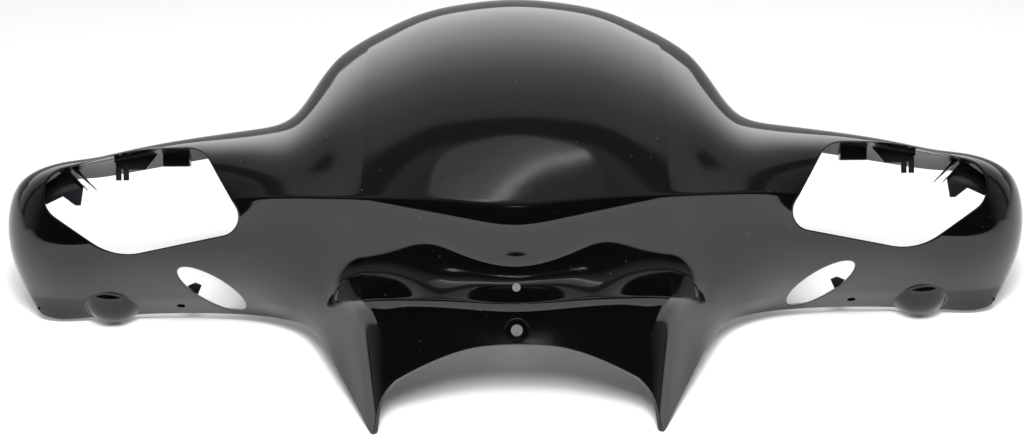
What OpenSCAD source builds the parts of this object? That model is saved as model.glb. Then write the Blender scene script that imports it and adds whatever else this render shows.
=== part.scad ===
// Handlebar cover of a motor scooter: the front shell of the headset, moulded in one piece.
// It is drawn in the mould's frame (x across, y back along the draw, z up) and then laid down
// as it rests on a table, on the two tips of the neck and the undersides of the wings.
// Millimetres.

/* [Overall] */
// Width over the two wing ends
cover_w = 500; // [440:1:560]
// Thickness of the moulded wall
wall_t = 2.6; // [2:0.1:3.4]
// Depth from the brow to the rear rim of the wings
wing_depth = 102; // [92:1:112]

/* [Dome] */
// Width of the dome where it runs into the wings
dome_w = 202; // [180:1:220]
// Height of the dome's crown above the neck tips
dome_h = 206; // [185:1:225]
// Depth from the brow to the rear rim of the dome
dome_depth = 128; // [118:1:142]

/* [Brow and neck] */
// Height of the brow crease above the neck tips
brow_h = 101; // [95:1:108]
// Height of the wings' lower rim above the neck tips
wing_low_h = 50; // [45:1:56]
// Distance between the two neck tips
neck_w = 132; // [116:1:144]

/* [Lamp windows] */
// Growth of each window outline beyond its drawn size
window_grow = 0; // [-4:0.5:2]

/* [Oval holes] */
// Long axis of the oval holes under the wings, as seen along the draw
oval_l = 35; // [26:1:38]
// Short axis of the oval holes, as seen along the draw
oval_s = 13.4; // [9:0.2:15]
// Lean of the long axis, rising towards the wing's end
oval_lean = 33; // [20:1:40]
// Distance of each oval's centre from the middle of the cover
oval_x = 147; // [140:1:156]

/* [Screw holes] */
// Diameter of the lower screw hole
screw_d = 5.3; // [4.5:0.1:6]
// Diameter of the dimple that the screw's head sits in
dimple_d = 11; // [9:0.2:12]
// Depth of the dimple
dimple_t = 1; // [0.6:0.1:1.4]
// Length of the boss behind the lower screw hole
boss_l = 7; // [5:0.5:12]
// Wall around the hole in the boss
boss_wall = 3; // [2:0.2:3.4]
// Diameter of the upper locating hole
peg_d = 3.8; // [3:0.1:5]
// Diameter of the drain hole near each wing's lower rim
drain_d = 4; // [2:0.5:5]

/* [Lever bulges] */
// Outer radius of the bulge that clears the lever under each wing
bulge_r = 16; // [13:0.5:17]
// Distance of each bulge from the middle of the cover
bulge_x = 198; // [190:1:203]

/* [Clips and ribs] */
// Thickness of the ribs inside the wings
rib_t = 1.8; // [1.4:0.1:3]
// Width of the latch block in each wing
latch_w = 13; // [9:0.5:15]
// How far the latch block hangs below the wing's top wall
latch_h = 7; // [5:0.5:10]
// Width of the gusset plate in each wing, at its root
plate_w = 24; // [18:1:28]
// How far the gusset plate hangs below the wing's top wall
plate_h = 6; // [4:0.5:9]
// Diameter of the twin pegs under the gusset plate
twin_d = 2.8; // [2:0.2:3.6]
// Length of the twin pegs below the plate
twin_l = 5; // [3:0.5:8]
// Length of the slanting twin fins near each wing's end
fin_l = 14.5; // [10:0.5:18]
// Width of the thicker pad at the top of the neck's arch
pad_w = 23; // [14:1:30]

/* [Hidden] */
$fn = 32;
cover_colour = "#1c1d1f";
through = 200;
clear_past = 8;

// Reference sizes that the character lines below are drawn at
ref_tip_x = 66;
ref_dome_x = 101;
ref_end_x = 250;
ref_wing_depth = 98;
ref_dome_depth = 136;
ref_low_h = 50;
ref_brow_h = 101.5;
ref_dome_h = 206;

// Columns of the surface, from the middle outwards, then round the wing's end
STATIONS = [0, 12, 25, 38, 50, 61, 71, 76, 80, 84, 88, 95, 101, 107, 114, 122, 131, 141, 153, 167,
            181, 194, 205];
END_TURN = [20, 40, 58, 74, 90];
corner_column = 6;
last_station = len(STATIONS) - 1;
cap_x = STATIONS[last_station];

// Character lines of half the cover, from the rear rim of the dome down to the neck's rim.
// Each is [share of the neck's taper, height of its end on the wing, points [x, y, z]].
rim_top = [0, 113, [[0, 136, 201.5], [37, 133, 197], [68, 127, 184.5], [90, 118, 169],
    [101, 108, 151], [108, 100, 140], [116, 98, 135.5], [131, 98, 132.5], [170, 98, 126],
    [205, 98, 120]]];
back = [0, 110.5, [[0, 124, 205], [37, 121.5, 200.5], [68, 116, 188], [90, 107, 173],
    [101, 98, 155.5], [108, 91, 144.5], [116, 88, 140], [131, 87, 137.5], [170, 86, 131.5],
    [205, 88, 125]]];
crown = [0, 108, [[0, 108, 205], [37, 106, 201], [68, 100, 188.5], [90, 92, 173],
    [101, 84, 155.5], [108, 79, 146.5], [116, 77, 143], [131, 76, 141], [170, 73, 135],
    [205, 78, 128]]];
dome_4 = [0, 105, [[0, 88, 199], [37, 86, 194], [68, 81, 180], [90, 75, 162], [101, 69, 149],
    [108, 66, 142], [116, 65, 139], [131, 63, 137], [170, 61, 132.5], [205, 69, 125.5]]];
dome_3 = [0, 102, [[0, 64, 183], [37, 62.5, 178], [68, 60, 164.5], [90, 57, 149],
    [101, 55, 139.5], [108, 54, 135], [116, 53, 132.5], [131, 52, 131], [170, 53, 125],
    [205, 63, 119]]];
dome_2 = [0, 99, [[0, 41, 160], [37, 41, 156], [68, 42, 145], [90, 43, 134], [101, 44, 129],
    [116, 45, 125.5], [131, 45, 123], [170, 49, 116], [205, 60, 111]]];
dome_1 = [0, 95.5, [[0, 20, 133], [37, 22, 131], [68, 27, 124], [90, 33, 118], [116, 37, 115],
    [131, 39, 114], [170, 47, 107], [205, 59, 102]]];
brow = [0, 90.5, [[0, 3, 101.5], [37, 7, 104.5], [68, 15, 106], [90, 24, 106.5],
    [113, 31, 107], [131, 36, 106], [170, 46, 98], [205, 59, 94]]];
under_1 = [0, 84.5, [[0, 3.3, 93], [37, 7.7, 97.5], [68, 16.5, 100.5], [90, 26, 101],
    [113, 34, 99], [131, 37.5, 97], [170, 45.5, 91], [205, 59.5, 87]]];
under_2 = [0, 78.5, [[0, 8, 83.5], [37, 12.7, 90], [68, 22.5, 93], [90, 32, 93], [113, 38.5, 90],
    [131, 41, 87], [170, 47, 84], [205, 61.5, 80]]];
groove = [0, 72.5, [[0, 16, 74], [37, 15.3, 80.5], [60, 25, 82.5], [68, 29.5, 83], [90, 40, 82],
    [113, 47, 79], [131, 51, 77], [170, 55, 76], [205, 67, 73]]];
low = [0, 66, [[0, 14.5, 65], [37, 13.5, 69.5], [60, 25, 70], [68, 31, 70], [75, 35, 69.5],
    [90, 46.5, 68], [113, 60, 66], [131, 65, 66], [170, 68, 67], [205, 76, 65.5]]];
ridge = [0, 61, [[0, 3.5, 57], [37, 6, 59], [60, 8, 59.5], [69, 12, 59], [75, 22, 58.7],
    [82, 36, 57.5], [95, 55.5, 55], [113, 75, 54.5], [131, 82, 57], [170, 83, 58],
    [205, 87, 58]]];
panel = [0.6, 57, [[0, 6.5, 51.5], [37, 8.7, 52.5], [56, 10.5, 51], [65, 13, 48], [72, 21, 46.5],
    [80, 34, 46], [92, 54.5, 48], [113, 82, 50], [131, 91, 52], [170, 92, 53.5],
    [205, 93, 53.5]]];
rim_low = [1, 53, [[0, 3.5, 38.5], [15, 3.5, 38], [30, 3.8, 34.5], [44, 4, 28.5],
    [55.5, 4.3, 22.5], [64, 5, 14], [65.6, 5, -4], [67.5, 7, -1.5], [75, 20, 12], [88, 42, 32],
    [95, 60, 41.5], [105, 77, 46], [131, 93, 49.5], [165, 98, 50.5], [195, 98, 49.8],
    [222, 98, 47.6]]];
LINES = [rim_top, back, crown, dome_4, dome_3, dome_2, dome_1, brow, under_1, under_2, groove,
         low, ridge, panel, rim_low];
brow_row = 7;
ridge_row = 12;

// How the columns lean from the ridge down to the lower rim: inwards at the neck, and outwards
// at the wing's end
NECK_LEAN = [[0, 0], [71, 55.5], [76, 64], [80, 65.6], [84, 67.5], [88, 75], [95, 86], [101, 96],
             [107, 105], [114, 113.5], [122, 122], [167, 168], [181, 187], [194, 205], [205, 221],
             [250, 250]];

// Straight steps and smooth steps between hand-picked points [at, value, ...]
function step_of(pts, t) = min(len(pts) - 2, max(0, len([for (p = pts) if (p[0] <= t) 1]) - 1));
function straight(pts, t) =
    let (i = step_of(pts, t), s = (t - pts[i][0]) / (pts[i + 1][0] - pts[i][0]))
    pts[i][1] + s * (pts[i + 1][1] - pts[i][1]);
function rise(pts, i, k) = (pts[i + 1][k] - pts[i][k]) / (pts[i + 1][0] - pts[i][0]);
function slope_at(pts, i, k) =
    i == 0 ? 0
    : i == len(pts) - 1 ? rise(pts, i - 1, k)
    : let (a = rise(pts, i - 1, k), b = rise(pts, i, k)) a * b <= 0 ? 0 : 2 * a * b / (a + b);
function glide(pts, t, k) =
    let (i = step_of(pts, t),
         h = pts[i + 1][0] - pts[i][0],
         s = min(1, max(0, (t - pts[i][0]) / h)))
    (2 * pow(s, 3) - 3 * s * s + 1) * pts[i][k]
    + (pow(s, 3) - 2 * s * s + s) * h * slope_at(pts, i, k)
    + (3 * s * s - 2 * pow(s, 3)) * pts[i + 1][k]
    + (pow(s, 3) - s * s) * h * slope_at(pts, i + 1, k);

// From the reference sizes to the set sizes
ACROSS = [[0, 0], [ref_tip_x, neck_w / 2], [ref_dome_x, dome_w / 2], [ref_end_x, cover_w / 2],
          [2 * ref_end_x, cover_w]];
BACK = [[-100, -100], [0, 0], [ref_wing_depth, wing_depth], [ref_dome_depth, dome_depth],
        [2 * ref_dome_depth, 2 * dome_depth]];
UP = [[-100, -100], [0, 0], [ref_low_h, wing_low_h], [ref_brow_h, brow_h], [ref_dome_h, dome_h],
      [2 * ref_dome_h, 2 * dome_h]];
function across(x) = sign(x) * straight(ACROSS, abs(x));
function back_to(y) = straight(BACK, y);
function up_to(z) = straight(UP, z);
function placed(p) = [across(p.x), back_to(p.y), up_to(p.z)];

// Outline of the wing's end, widest a little above its middle
end_top_z = 122;
end_wide_z = 94;
end_low_z = 46;
end_top_in = 14;
end_low_in = 20;
function end_x(z) = ref_end_x - (z < end_wide_z
    ? end_low_in * pow((z - end_wide_z) / (end_wide_z - end_low_z), 2)
    : end_top_in * pow((z - end_wide_z) / (end_top_z - end_wide_z), 2));

// Control points of one line over the stations and round the wing's end
function leaned(x, share) = x * (1 - share) + share * straight(NECK_LEAN, x);
function line_points(l) =
    let (flat = [for (s = STATIONS)
            let (x = leaned(s, l[0])) [x, glide(l[2], x, 1), glide(l[2], x, 2)]],
         last = flat[last_station],
         end = [end_x(l[1]), ref_wing_depth, l[1]])
    [for (p = flat) placed(p),
     for (a = END_TURN) placed([last.x + (end.x - last.x) * sin(a),
                                last.y + (end.y - last.y) * (1 - cos(a)),
                                last.z + (end.z - last.z) * (1 - cos(a))])];
HALF = [for (l = LINES) line_points(l)];
row_count = len(HALF);
column_count = len(HALF[0]);

// The same net moved inwards by the wall, square to the surface
function mirrored(p) = [-p.x, p.y, p.z];
function net_at(r, c) = c < 0 ? mirrored(HALF[r][-c]) : HALF[r][min(c, column_count - 1)];
function inward(r, c) =
    let (along = net_at(r, c + 1) - net_at(r, c - 1),
         down = net_at(min(r + 1, row_count - 1), c) - net_at(max(r - 1, 0), c),
         n = cross(along, down))
    n / norm(n);
INNER = [for (r = [0:row_count - 1]) [for (c = [0:column_count - 1])
    HALF[r][c] + wall_t * inward(r, c)]];

// Lines and columns that are taken twice give a tight crease
ROW_ORDER = [for (r = [0:row_count - 1]) for (k = [1:r == brow_row || r == ridge_row ? 2 : 1]) r];
COLUMN_ORDER = [for (c = [0:column_count - 1]) for (k = [1:c == corner_column ? 2 : 1]) c];
half_columns = len(COLUMN_ORDER) - 1;
net_rows = len(ROW_ORDER);
net_columns = 2 * half_columns + 1;
function whole_net(half) = [for (r = ROW_ORDER) [for (k = [-half_columns:half_columns])
    let (p = half[r][COLUMN_ORDER[abs(k)]]) k < 0 ? mirrored(p) : p]];

// Weights of the net's points at a place along it, for a smooth cubic surface
function bump(t) = [pow(1 - t, 3), 3 * pow(t, 3) - 6 * t * t + 4,
                    -3 * pow(t, 3) + 3 * t * t + 3 * t + 1, pow(t, 3)] / 6;
function weights(at, n) =
    let (seg = min(floor(at), n - 2), w = bump(at - seg))
    [for (i = [0:n - 1])
        (i == seg - 1 ? w[0] : 0) + (i == seg ? w[1] : 0) + (i == seg + 1 ? w[2] : 0)
        + (i == seg + 2 ? w[3] : 0)
        + (seg == 0 ? (i == 0 ? 2 * w[0] : i == 1 ? -w[0] : 0) : 0)
        + (seg == n - 2 ? (i == n - 1 ? 2 * w[3] : i == n - 2 ? -w[3] : 0) : 0)];
function turned(m) = [for (j = [0:len(m[0]) - 1]) [for (i = [0:len(m) - 1]) m[i][j]]];
function sheet(net, rows, columns) =
    let (a = [for (r = rows) weights(r, net_rows)],
         b = turned([for (c = columns) weights(c, net_columns)]),
         xs = a * [for (l = net) [for (p = l) p.x]] * b,
         ys = a * [for (l = net) [for (p = l) p.y]] * b,
         zs = a * [for (l = net) [for (p = l) p.z]] * b)
    [for (i = [0:len(rows) - 1]) [for (j = [0:len(columns) - 1]) [xs[i][j], ys[i][j], zs[i][j]]]];

// Where the surface is sampled: twice between lines, and twice between columns at the wing's end
ROW_AT = [0, 1, for (r = [2:0.5:net_rows - 1]) r];
turn_from = 24;
half_at = [for (c = [0:turn_from]) c, for (c = [turn_from + 0.5:0.5:half_columns]) c];
COLUMN_AT = [for (k = [len(half_at) - 1:-1:1]) half_columns - half_at[k],
             for (c = half_at) half_columns + c];
OUTER_NET = whole_net(HALF);
INNER_NET = whole_net(INNER);
OUTER = sheet(OUTER_NET, ROW_AT, COLUMN_AT);
INSIDE = sheet(INNER_NET, ROW_AT, COLUMN_AT);
grid_rows = len(ROW_AT);
grid_columns = len(COLUMN_AT);

// One point of the outer or inner surface; the column counts from the middle of the net
function skin_at(net, row, column) = sheet(net, [row], [half_columns + column])[0][0];

// The wall between the outer and the inner surface
function seat(i, j) = i * grid_columns + j;
module wall() {
    inner = grid_rows * grid_columns;
    last_i = grid_rows - 1;
    last_j = grid_columns - 1;
    skin = [for (i = [0:last_i - 1]) for (j = [0:last_j - 1])
        let (a = seat(i, j), b = seat(i, j + 1), c = seat(i + 1, j + 1), d = seat(i + 1, j))
        for (t = j < last_j / 2 ? [[a, b, d], [b, c, d]] : [[a, b, c], [a, c, d]]) t];
    lining = [for (t = skin) [t[0] + inner, t[2] + inner, t[1] + inner]];
    rim = [for (j = [0:last_j - 1]) each [
               [seat(0, j + 1), seat(0, j), seat(0, j) + inner],
               [seat(0, j + 1), seat(0, j) + inner, seat(0, j + 1) + inner],
               [seat(last_i, j), seat(last_i, j + 1), seat(last_i, j + 1) + inner],
               [seat(last_i, j), seat(last_i, j + 1) + inner, seat(last_i, j) + inner]],
           for (i = [0:last_i - 1]) each [
               [seat(i, 0), seat(i + 1, 0), seat(i + 1, 0) + inner],
               [seat(i, 0), seat(i + 1, 0) + inner, seat(i, 0) + inner],
               [seat(i + 1, last_j), seat(i, last_j), seat(i, last_j) + inner],
               [seat(i + 1, last_j), seat(i, last_j) + inner, seat(i + 1, last_j) + inner]]];
    polyhedron(points = [for (l = OUTER) each l, for (l = INSIDE) each l],
               faces = [each skin, each lining, each rim], convexity = 12);
}

// Finding a place on the surface: the column at a distance from the middle, then the row
// at a height on the front and underside, or at a depth on the top wall
function column_for(net, x) = lookup(x, [for (k = [0:half_columns])
    [net[0][half_columns + k].x, k]]);
function front_at(net, x, z) =
    let (k = column_for(net, x),
         walk = [for (r = [net_rows - 1:-0.5:3]) skin_at(net, r, k)])
    lookup(z, [for (p = walk) [p.z, p.y]]);
function top_at(net, x, y) =
    let (k = column_for(net, x),
         walk = [for (r = [3:-0.5:0]) skin_at(net, r, k)])
    lookup(y, [for (p = walk) [p.y, p.z]]);
function bottom_at(x, y) =
    let (k = column_for(INNER_NET, x),
         walk = [for (r = [ridge_row:0.5:net_rows - 1]) skin_at(INNER_NET, r, k)])
    lookup(y, [for (p = walk) [p.y, p.z]]) - wall_t / 2;
function outer_y(x, z) = front_at(OUTER_NET, x, z);
function inner_y(x, z) = front_at(INNER_NET, x, z);
function inner_top(x, y) = top_at(INNER_NET, x, y);
function wall_top(x, y) = inner_top(x, y) + wall_t / 2;

// Rounded outline from corners [x, z, radius], grown outwards by a margin
function unit(v) = v / norm(v);
function heading(v) = atan2(v.y, v.x);
function arc_at(before, corner, after, grow) =
    let (c = [corner.x, corner.y],
         to_before = unit([before.x, before.y] - c),
         to_after = unit([after.x, after.y] - c),
         half_angle = acos(to_before * to_after) / 2,
         centre = c + unit(to_before + to_after) * corner[2] / sin(half_angle),
         from = heading(c + to_before * corner[2] / tan(half_angle) - centre),
         turn = heading(c + to_after * corner[2] / tan(half_angle) - centre) - from,
         sweep = turn > 180 ? turn - 360 : turn < -180 ? turn + 360 : turn,
         parts = max(3, round(abs(sweep) / 14)))
    [for (k = [0:parts]) centre + (corner[2] + grow)
        * [cos(from + sweep * k / parts), sin(from + sweep * k / parts)]];
function rounded(corners, grow) = let (n = len(corners))
    [for (i = [0:n - 1]) each arc_at(corners[(i + n - 1) % n], corners[i],
                                     corners[(i + 1) % n], grow)];

// Straight block with an outline in x and z, between two depths that may slope with x
module cutter(outline, near, far) {
    n = len(outline);
    polyhedron(
        points = [for (p = outline) [p.x, near[0] + near[1] * p.x, p.y],
                  for (p = outline) [p.x, far[0] + far[1] * p.x, p.y]],
        faces = [[for (i = [n - 1:-1:0]) i], [for (i = [n:2 * n - 1]) i],
                 for (i = [0:n - 1]) [i, (i + 1) % n, (i + 1) % n + n, i + n]]);
}

// Lamp windows: six corners of the right one, drawn anticlockwise
WINDOW = [[124.5, 92, 9], [191.2, 78.9, 32], [226.4, 103, 13], [226.4, 119.8, 12],
          [182, 130.8, 90], [148.3, 130.8, 14]];
window_corners = [for (p = WINDOW) [across(p.x), up_to(p.y), p[2]]];
// The cut starts before the front and ends short of the top wall: [depth at the middle, slope]
window_near = [-40, 0.4];
window_sweep = 0.17;
window_margin = 14;
window_mid_x = across(167);
window_mid_z = up_to(128);
window_far = [inner_y(window_mid_x, window_mid_z) + window_margin - window_sweep * window_mid_x,
              window_sweep];
module window() cutter(rounded(window_corners, window_grow), window_near, window_far);

// Oval hole in the underside of the right wing
oval_z = up_to(63.1);
oval_far = back_to(ref_wing_depth) + clear_past;
oval_steps = 32;
module oval_hole() {
    outline = [for (k = [0:oval_steps - 1]) let (a = 360 * k / oval_steps,
            u = oval_l / 2 * cos(a), v = oval_s / 2 * sin(a))
        [across(oval_x) + u * cos(oval_lean) - v * sin(oval_lean),
         oval_z + u * sin(oval_lean) + v * cos(oval_lean)]];
    cutter(outline, [0, 0], [oval_far, 0]);
}

// Round things along the draw, from one depth to another
module along_draw(x, z, from, to, d) {
    translate([x, from, z]) rotate([-90, 0, 0]) cylinder(d = d, h = to - from);
}

// Lower screw hole, its dimple and its boss; upper locating hole
screw_z = up_to(44.7);
screw_y = outer_y(0, screw_z);
screw_back = inner_y(0, screw_z);
peg_z = up_to(64.3);
boss_d = screw_d + 2 * boss_wall;
module screw_boss() along_draw(0, screw_z, screw_y + dimple_t, screw_back + boss_l, boss_d);
module screw_holes() {
    along_draw(0, screw_z, -through, through, screw_d);
    along_draw(0, screw_z, -through, screw_y + dimple_t, dimple_d);
    along_draw(0, peg_z, -through, inner_y(0, peg_z) + clear_past, peg_d);
}

// Drain hole near the wing's lower rim, drilled square to the underside
drain_x = across(164);
drain_z = up_to(54.5);
drain_span = 3;
module drain_hole() {
    lean = atan2(outer_y(drain_x, drain_z - drain_span) - outer_y(drain_x, drain_z + drain_span),
                 2 * drain_span);
    translate([drain_x, outer_y(drain_x, drain_z), drain_z])
        rotate([lean - 90, 0, 0]) cylinder(d = drain_d, h = 2 * clear_past, center = true);
}

// Bulge under the right wing: half a ball, open at the rear, whose middle lies above the rim
bulge_z = up_to(62);
bulge_front = outer_y(bulge_x, bulge_z);
bulge_rear = back_to(ref_wing_depth) - 1;
ball_steps = 22;
module below_wing() {
    lean = atan2(bulge_front - outer_y(bulge_x, bulge_z + bulge_r), bulge_r);
    translate([bulge_x - through / 2, bulge_front, bulge_z + wall_t])
        rotate([lean - 90, 0, 0]) translate([0, -through / 2, -through]) cube(through);
}
module before_rim() {
    translate([bulge_x - through / 2, bulge_rear - through, bulge_z - through / 2]) cube(through);
}
module ball(r) translate([bulge_x, bulge_rear, bulge_z]) sphere(r = r, $fn = ball_steps);
module bulge() {
    intersection() {
        ball(bulge_r);
        below_wing();
        before_rim();
    }
}
module bulge_hollow() {
    ball(bulge_r - wall_t);
    along_draw(bulge_x, bulge_z, bulge_rear, bulge_rear + through, 2 * (bulge_r - wall_t));
}

// What hangs from the wing's top wall, all on the right wing
latch_x = across(165);
latch_y = back_to(84);
latch_depth = 8;
plate_x = across(184.5);
plate_y = back_to(82);
plate_foot_in = plate_w / 5;
plate_foot_out = plate_w / 4;
twin_x = across(191);
twin_gap = 0.9;
fin_x = across(216);
fin_y = back_to(84);
fin_w = 5;
fin_pitch = 4.4;
fin_lean = 47;
// A block under the top wall, whose root follows the wall; its foot may stand off to one side
module hung(x, y, w, t, foot_z, foot_shift = 0, foot_rise = 0) {
    corners = [[x - w / 2, y], [x + w / 2, y], [x + w / 2, y + t], [x - w / 2, y + t]];
    polyhedron(
        points = [for (c = corners) [c.x + foot_shift, c.y, foot_z + foot_rise * (c.x - x)],
                  for (c = corners) [c.x, c.y, wall_top(c.x, c.y)]],
        faces = [[0, 1, 2], [0, 2, 3], [4, 6, 5], [4, 7, 6],
                 for (i = [0:3]) each [[i, i + 4, (i + 1) % 4], [(i + 1) % 4, i + 4, (i + 1) % 4 + 4]]]);
}
module clips() {
    hung(latch_x, latch_y, latch_w, latch_depth, inner_top(latch_x, latch_y) - latch_h);
    plate_low = inner_top(plate_x, plate_y) - plate_h;
    translate([plate_x, plate_y + rib_t, 0]) rotate([90, 0, 0]) linear_extrude(rib_t)
        polygon([[-plate_w / 2, wall_top(plate_x - plate_w / 2, plate_y)],
                 [-plate_foot_in, plate_low], [plate_foot_out, plate_low],
                 [plate_w / 2, wall_top(plate_x + plate_w / 2, plate_y)]]);
    for (side = [-1, 1])
        translate([twin_x + side * (twin_d + twin_gap) / 2, plate_y + rib_t / 2,
                   plate_low - twin_l])
            cylinder(d = twin_d, h = twin_l + plate_h / 2);
    for (k = [0, 1])
        hung(fin_x + k * fin_pitch, fin_y, rib_t / cos(fin_lean), fin_w,
             inner_top(fin_x, fin_y) - fin_l * cos(fin_lean), -fin_l * sin(fin_lean), 1);
    gusset();
}

// Notched gusset between the wing's end and its top wall: it leaves the top wall at the first
// of these places in x, hangs down to its foot, and rises over the notch to the wing's end
gusset_x = [for (x = [219, 211, 212.4, 215, 221]) across(x)];
gusset_side_z = up_to(113.5);
gusset_foot_z = up_to(104.5);
gusset_notch_z = up_to(109);
gusset_top_in = 2;
gusset_row = 6;
gusset_end = skin_at(INNER_NET, gusset_row, half_columns - 1);
module gusset() {
    outer_x = gusset_end.x + wall_t / 2;
    top_x = outer_x - gusset_top_in;
    translate([0, gusset_end.y + rib_t / 2, 0]) rotate([90, 0, 0]) linear_extrude(rib_t)
        polygon([[gusset_x[0], wall_top(gusset_x[0], gusset_end.y)],
                 [gusset_x[1], gusset_side_z], [gusset_x[2], gusset_foot_z],
                 [gusset_x[3], gusset_foot_z], [gusset_x[4], gusset_notch_z],
                 [outer_x, gusset_end.z], [top_x, wall_top(top_x, gusset_end.y)]]);
}

// Small peaked upright on the inside of the underside, seen through the oval hole
upright_x = [for (x = [155.4, 153.7, 156.8, 161.4]) across(x)];
upright_z = [for (z = [60.6, 64.7, 66.1, 64.1]) up_to(z)];
upright_y = back_to(88);
module upright() {
    foot_in = [upright_x[0], bottom_at(upright_x[0], upright_y)];
    foot_out = [upright_x[3], bottom_at(upright_x[3], upright_y)];
    translate([0, upright_y + rib_t, 0]) rotate([90, 0, 0]) linear_extrude(rib_t)
        polygon([foot_in, for (k = [0:3]) [upright_x[k], upright_z[k]], foot_out]);
}

// Thicker pad in the middle of the arch
pad_t = 4;
pad_h = 2.6;
pad_in = 0.6;
arch_top = skin_at(OUTER_NET, net_rows - 1, 0);
module arch_pad() {
    translate([-pad_w / 2, arch_top.y + pad_in, arch_top.z]) cube([pad_w, wall_t + pad_t, pad_h]);
}

// The whole cover in the mould's frame
module moulding() {
    difference() {
        union() {
            wall();
            screw_boss();
            arch_pad();
            for (side = [0, 1]) mirror([side, 0, 0]) {
                clips();
                upright();
                bulge();
            }
        }
        screw_holes();
        for (side = [0, 1]) mirror([side, 0, 0]) {
            window();
            oval_hole();
            drain_hole();
            bulge_hollow();
        }
    }
}

// Laid down on the neck tips and the bulges, with the origin below its middle
EDGE = concat(OUTER[grid_rows - 1], INSIDE[grid_rows - 1]);
tip_z = min([for (p = EDGE) p.z]);
tip_y = max([for (p = EDGE) if (p.z <= tip_z + 0.001) p.y]);
wing_from = across(150);
rim_tilt = min([for (p = EDGE) if (abs(p.x) > wing_from) atan2(p.z - tip_z, p.y - tip_y)]);
bulge_low = bulge_z - bulge_r;
rest_tilt = min(rim_tilt, atan2(bulge_low - tip_z, bulge_rear - tip_y));
function lain(p) = [p.x, p.y * cos(rest_tilt) + p.z * sin(rest_tilt),
                    p.z * cos(rest_tilt) - p.y * sin(rest_tilt)];
LAIN = [for (l = concat(OUTER, INSIDE)) for (p = l) lain(p)];
front_y = min([for (p = LAIN) p.y]);
rear_y = max([for (p = LAIN) p.y]);
floor_z = min([for (p = LAIN) p.z]);
module handlebar_cover() {
    color(cover_colour)
    translate([0, -(front_y + rear_y) / 2, -floor_z]) rotate([-rest_tilt, 0, 0]) moulding();
}

handlebar_cover();
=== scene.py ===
# %% [markdown]
# # A gloss black handlebar cover
# This lesson dresses the front shell of a scooter's headset, a single moulding in black ABS.
# The real part is a thin wall with a domed visor, two swept wings with lamp windows and a neck
# that ends in two tapering legs. A gloss black shell is seen almost only by what it mirrors, so
# its surface has to be truly smooth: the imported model's flat triangles would show in every
# reflection. The shell is therefore built again from the same named lines, far more finely.

# %% Load the fixed frame
import math

import bmesh
import bpy
import numpy as np
from mathutils import Matrix, Vector
from mathutils.geometry import delaunay_2d_cdt


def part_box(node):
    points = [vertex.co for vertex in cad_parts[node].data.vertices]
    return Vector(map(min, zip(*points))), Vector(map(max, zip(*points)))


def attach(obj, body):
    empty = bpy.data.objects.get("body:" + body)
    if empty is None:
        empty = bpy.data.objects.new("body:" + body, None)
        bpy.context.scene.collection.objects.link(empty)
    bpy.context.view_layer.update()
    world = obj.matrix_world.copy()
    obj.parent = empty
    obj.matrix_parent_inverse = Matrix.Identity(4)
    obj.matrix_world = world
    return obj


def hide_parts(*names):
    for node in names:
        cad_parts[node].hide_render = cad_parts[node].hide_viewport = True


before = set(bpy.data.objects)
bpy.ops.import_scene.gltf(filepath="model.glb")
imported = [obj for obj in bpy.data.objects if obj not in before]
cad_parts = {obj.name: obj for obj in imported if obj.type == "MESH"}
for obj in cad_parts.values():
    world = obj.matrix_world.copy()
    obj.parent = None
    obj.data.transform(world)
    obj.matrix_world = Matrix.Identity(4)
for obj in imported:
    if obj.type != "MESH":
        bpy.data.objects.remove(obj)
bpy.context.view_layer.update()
MM = 0.001

# %% [markdown]
# ## The character lines
# A stylist draws a cover like this with a few long lines: the rear rim, the crown of the dome, the
# brow crease, the groove under it, the ridge above the neck, and the lower rim. Each line below is
# given in millimetres in the mould's frame, x across, y back along the draw and z up, for one
# half, with its share of the neck's taper and the height at which it reaches the wing's end.

# %% Lines of one half, from the dome's rear rim down to the neck's rim
RIM_TOP = (0, 113, [(0, 136, 201.5), (37, 133, 197), (68, 127, 184.5), (90, 118, 169),
                    (101, 108, 151), (108, 100, 140), (116, 98, 135.5), (131, 98, 132.5),
                    (170, 98, 126), (205, 98, 120)])
BACK = (0, 110.5, [(0, 124, 205), (37, 121.5, 200.5), (68, 116, 188), (90, 107, 173),
                   (101, 98, 155.5), (108, 91, 144.5), (116, 88, 140), (131, 87, 137.5),
                   (170, 86, 131.5), (205, 88, 125)])
CROWN = (0, 108, [(0, 108, 205), (37, 106, 201), (68, 100, 188.5), (90, 92, 173),
                  (101, 84, 155.5), (108, 79, 146.5), (116, 77, 143), (131, 76, 141),
                  (170, 73, 135), (205, 78, 128)])
DOME_4 = (0, 105, [(0, 88, 199), (37, 86, 194), (68, 81, 180), (90, 75, 162), (101, 69, 149),
                   (108, 66, 142), (116, 65, 139), (131, 63, 137), (170, 61, 132.5),
                   (205, 69, 125.5)])
DOME_3 = (0, 102, [(0, 64, 183), (37, 62.5, 178), (68, 60, 164.5), (90, 57, 149),
                   (101, 55, 139.5), (108, 54, 135), (116, 53, 132.5), (131, 52, 131),
                   (170, 53, 125), (205, 63, 119)])
DOME_2 = (0, 99, [(0, 41, 160), (37, 41, 156), (68, 42, 145), (90, 43, 134), (101, 44, 129),
                  (116, 45, 125.5), (131, 45, 123), (170, 49, 116), (205, 60, 111)])
DOME_1 = (0, 95.5, [(0, 20, 133), (37, 22, 131), (68, 27, 124), (90, 33, 118), (116, 37, 115),
                    (131, 39, 114), (170, 47, 107), (205, 59, 102)])
BROW = (0, 90.5, [(0, 3, 101.5), (37, 7, 104.5), (68, 15, 106), (90, 24, 106.5), (113, 31, 107),
                  (131, 36, 106), (170, 46, 98), (205, 59, 94)])
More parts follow.
